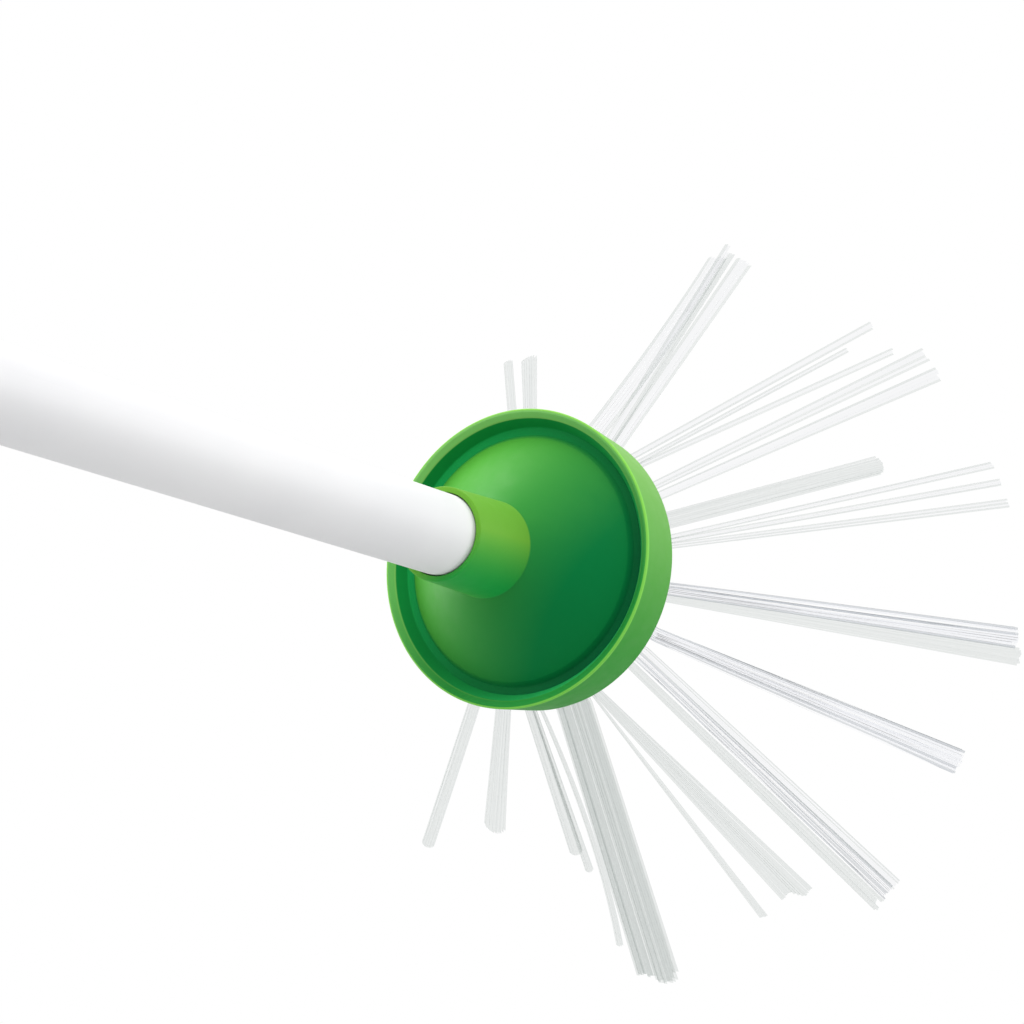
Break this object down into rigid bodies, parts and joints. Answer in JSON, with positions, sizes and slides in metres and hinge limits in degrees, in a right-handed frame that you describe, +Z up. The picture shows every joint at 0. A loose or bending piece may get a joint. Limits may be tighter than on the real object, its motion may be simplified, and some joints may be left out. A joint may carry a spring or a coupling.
{
  "type": "spider catcher",
  "caption": "Hand tool with a pistol grip and trigger that opens and closes a ring of soft bristle tufts on a bell-shaped head at the end of a straight tube.",
  "frame": {"origin": "on the tube's axis, in the handle straight above the hand grip's front", "axes": "+X along the tube towards the bristle head, +Z up, away from the hand grip, +Y to the left"},
  "size_m": [0.6504, 0.192, 0.2295],
  "materials": {
    "green_plastic": "glossy moulded green",
    "dark_green_plastic": "satin moulded dark green",
    "white_plastic": "glossy white",
    "grey_plastic": "satin grey",
    "clear_bristle": "clear soft filaments",
    "steel": "plain bright steel"
  },
  "bodies": {
    "handle_tube_and_head": {"left_handle": "green_plastic", "right_handle": "green_plastic", "handle_screw_1": "steel", "handle_screw_2": "steel", "handle_screw_3": "steel", "handle_screw_4": "steel", "tube_screw": "steel", "trigger_pin": "steel", "tube": "white_plastic", "front_rod_guide": "grey_plastic", "rear_rod_guide": "grey_plastic", "return_spring": "steel", "head_cup": "green_plastic", "hinge_ring": "dark_green_plastic", "front_cover": "green_plastic", "cover_screw_1": "steel", "cover_screw_2": "steel", "cover_screw_3": "steel", "cover_screw_4": "steel", "ring_screw_1": "steel", "ring_screw_2": "steel", "ring_screw_3": "steel"},
    "trigger_lever": {"trigger": "white_plastic"},
    "rod_and_plunger": {"push_rod": "steel", "plunger": "grey_plastic", "spring_collar": "steel", "cross_pin": "steel"},
    "tuft_lever_01": {"holder_01": "dark_green_plastic", "tuft_01": "clear_bristle"},
    "tuft_lever_02": {"holder_02": "dark_green_plastic", "tuft_02": "clear_bristle"},
    "tuft_lever_03": {"holder_03": "dark_green_plastic", "tuft_03": "clear_bristle"},
    "tuft_lever_04": {"holder_04": "dark_green_plastic", "tuft_04": "clear_bristle"},
    "tuft_lever_05": {"holder_05": "dark_green_plastic", "tuft_05": "clear_bristle"},
    "tuft_lever_06": {"holder_06": "dark_green_plastic", "tuft_06": "clear_bristle"},
    "tuft_lever_07": {"holder_07": "dark_green_plastic", "tuft_07": "clear_bristle"},
    "tuft_lever_08": {"holder_08": "dark_green_plastic", "tuft_08": "clear_bristle"},
    "tuft_lever_09": {"holder_09": "dark_green_plastic", "tuft_09": "clear_bristle"},
    "tuft_lever_10": {"holder_10": "dark_green_plastic", "tuft_10": "clear_bristle"},
    "tuft_lever_11": {"holder_11": "dark_green_plastic", "tuft_11": "clear_bristle"},
    "tuft_lever_12": {"holder_12": "dark_green_plastic", "tuft_12": "clear_bristle"},
    "tuft_lever_13": {"holder_13": "dark_green_plastic", "tuft_13": "clear_bristle"},
    "tuft_lever_14": {"holder_14": "dark_green_plastic", "tuft_14": "clear_bristle"},
    "tuft_lever_15": {"holder_15": "dark_green_plastic", "tuft_15": "clear_bristle"},
    "tuft_lever_16": {"holder_16": "dark_green_plastic", "tuft_16": "clear_bristle"}
  },
  "joints": [
    {"name": "trigger_squeeze", "type": "hinge", "parent": "handle_tube_and_head", "child": "trigger_lever", "pos_m": [-0.004, 0, -0.0134], "axis": [0, 1, 0], "range_deg": [-26, 0], "stiffness_Nm_per_rad": 0.0929, "springref_deg": -50.42},
    {"name": "rod_slide", "type": "slide", "parent": "handle_tube_and_head", "child": "rod_and_plunger", "axis": [1, 0, 0], "range_m": [-0.00619, 0], "deforming": ["return_spring"]},
    {"name": "tuft_swing_01", "type": "hinge", "parent": "handle_tube_and_head", "child": "tuft_lever_01", "pos_m": [0.49, 0.01778, 0.00279], "axis": [0, -0.1547, 0.988], "range_deg": [-38, 0]},
    {"name": "tuft_swing_02", "type": "hinge", "parent": "handle_tube_and_head", "child": "tuft_lever_02", "pos_m": [0.49, 0.01536, 0.00938], "axis": [0, -0.521, 0.8536], "range_deg": [-38, 0]},
    {"name": "tuft_swing_03", "type": "hinge", "parent": "handle_tube_and_head", "child": "tuft_lever_03", "pos_m": [0.49, 0.01061, 0.01454], "axis": [0, -0.808, 0.5892], "range_deg": [-38, 0]},
    {"name": "tuft_swing_04", "type": "hinge", "parent": "handle_tube_and_head", "child": "tuft_lever_04", "pos_m": [0.49, 0.00423, 0.0175], "axis": [0, -0.972, 0.2351], "range_deg": [-38, 0]},
    {"name": "tuft_swing_05", "type": "hinge", "parent": "handle_tube_and_head", "child": "tuft_lever_05", "pos_m": [0.49, -0.00279, 0.01778], "axis": [0, -0.988, -0.1547], "range_deg": [-38, 0]},
    {"name": "tuft_swing_06", "type": "hinge", "parent": "handle_tube_and_head", "child": "tuft_lever_06", "pos_m": [0.49, -0.00938, 0.01536], "axis": [0, -0.8536, -0.521], "range_deg": [-38, 0]},
    {"name": "tuft_swing_07", "type": "hinge", "parent": "handle_tube_and_head", "child": "tuft_lever_07", "pos_m": [0.49, -0.01454, 0.01061], "axis": [0, -0.5892, -0.808], "range_deg": [-38, 0]},
    {"name": "tuft_swing_08", "type": "hinge", "parent": "handle_tube_and_head", "child": "tuft_lever_08", "pos_m": [0.49, -0.0175, 0.00423], "axis": [0, -0.2351, -0.972], "range_deg": [-38, 0]},
    {"name": "tuft_swing_09", "type": "hinge", "parent": "handle_tube_and_head", "child": "tuft_lever_09", "pos_m": [0.49, -0.01778, -0.00279], "axis": [0, 0.1547, -0.988], "range_deg": [-38, 0]},
    {"name": "tuft_swing_10", "type": "hinge", "parent": "handle_tube_and_head", "child": "tuft_lever_10", "pos_m": [0.49, -0.01536, -0.00938], "axis": [0, 0.521, -0.8536], "range_deg": [-38, 0]},
    {"name": "tuft_swing_11", "type": "hinge", "parent": "handle_tube_and_head", "child": "tuft_lever_11", "pos_m": [0.49, -0.01061, -0.01454], "axis": [0, 0.808, -0.5892], "range_deg": [-38, 0]},
    {"name": "tuft_swing_12", "type": "hinge", "parent": "handle_tube_and_head", "child": "tuft_lever_12", "pos_m": [0.49, -0.00423, -0.0175], "axis": [0, 0.972, -0.2351], "range_deg": [-38, 0]},
    {"name": "tuft_swing_13", "type": "hinge", "parent": "handle_tube_and_head", "child": "tuft_lever_13", "pos_m": [0.49, 0.00279, -0.01778], "axis": [0, 0.988, 0.1547], "range_deg": [-38, 0]},
    {"name": "tuft_swing_14", "type": "hinge", "parent": "handle_tube_and_head", "child": "tuft_lever_14", "pos_m": [0.49, 0.00938, -0.01536], "axis": [0, 0.8536, 0.521], "range_deg": [-38, 0]},
    {"name": "tuft_swing_15", "type": "hinge", "parent": "handle_tube_and_head", "child": "tuft_lever_15", "pos_m": [0.49, 0.01454, -0.01061], "axis": [0, 0.5892, 0.808], "range_deg": [-38, 0]},
    {"name": "tuft_swing_16", "type": "hinge", "parent": "handle_tube_and_head", "child": "tuft_lever_16", "pos_m": [0.49, 0.0175, -0.00423], "axis": [0, 0.2351, 0.972], "range_deg": [-38, 0]}
  ],
  "couplings": [
    {"joint": "rod_slide", "follows": "trigger_squeeze", "m_per_rad": 0.013632},
    {"joint": "tuft_swing_01", "follows": "trigger_squeeze", "ratio": 1.4615},
    {"joint": "tuft_swing_02", "follows": "trigger_squeeze", "ratio": 1.4615},
    {"joint": "tuft_swing_03", "follows": "trigger_squeeze", "ratio": 1.4615},
    {"joint": "tuft_swing_04", "follows": "trigger_squeeze", "ratio": 1.4615},
    {"joint": "tuft_swing_05", "follows": "trigger_squeeze", "ratio": 1.4615},
    {"joint": "tuft_swing_06", "follows": "trigger_squeeze", "ratio": 1.4615},
    {"joint": "tuft_swing_07", "follows": "trigger_squeeze", "ratio": 1.4615},
    {"joint": "tuft_swing_08", "follows": "trigger_squeeze", "ratio": 1.4615},
    {"joint": "tuft_swing_09", "follows": "trigger_squeeze", "ratio": 1.4615},
    {"joint": "tuft_swing_10", "follows": "trigger_squeeze", "ratio": 1.4615},
    {"joint": "tuft_swing_11", "follows": "trigger_squeeze", "ratio": 1.4615},
    {"joint": "tuft_swing_12", "follows": "trigger_squeeze", "ratio": 1.4615},
    {"joint": "tuft_swing_13", "follows": "trigger_squeeze", "ratio": 1.4615},
    {"joint": "tuft_swing_14", "follows": "trigger_squeeze", "ratio": 1.4615},
    {"joint": "tuft_swing_15", "follows": "trigger_squeeze", "ratio": 1.4615},
    {"joint": "tuft_swing_16", "follows": "trigger_squeeze", "ratio": 1.4615}
  ]
}
